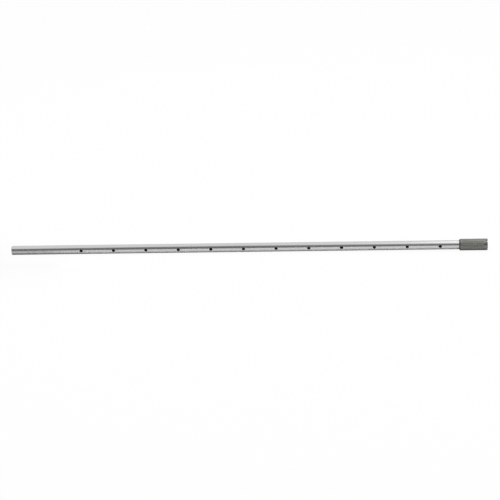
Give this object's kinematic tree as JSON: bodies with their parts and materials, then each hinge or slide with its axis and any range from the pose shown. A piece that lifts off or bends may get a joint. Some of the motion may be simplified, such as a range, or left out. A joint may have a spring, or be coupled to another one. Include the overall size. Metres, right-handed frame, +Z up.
{
  "type": "intramedullary nail",
  "caption": "Slim straight cannulated bone nail: a polished tube with a row of locking holes and a dark fluted driving head with key slots and a thread.",
  "frame": {"origin": "centre of the driving head's end face, on the nail's axis", "axes": "+X along the nail, out of the driving head towards the insertion tool; the locking holes run along Y; +Z up as the nail lies"},
  "size_m": [0.4747, 0.0116, 0.0116],
  "materials": {
    "polished_steel": "drawn and polished lengthwise, bright",
    "dark_steel": "blasted and darkened, matt olive grey"
  },
  "bodies": {
    "root": {"nail_shaft": "polished_steel", "driving_head": "dark_steel"}
  },
  "joints": []
}
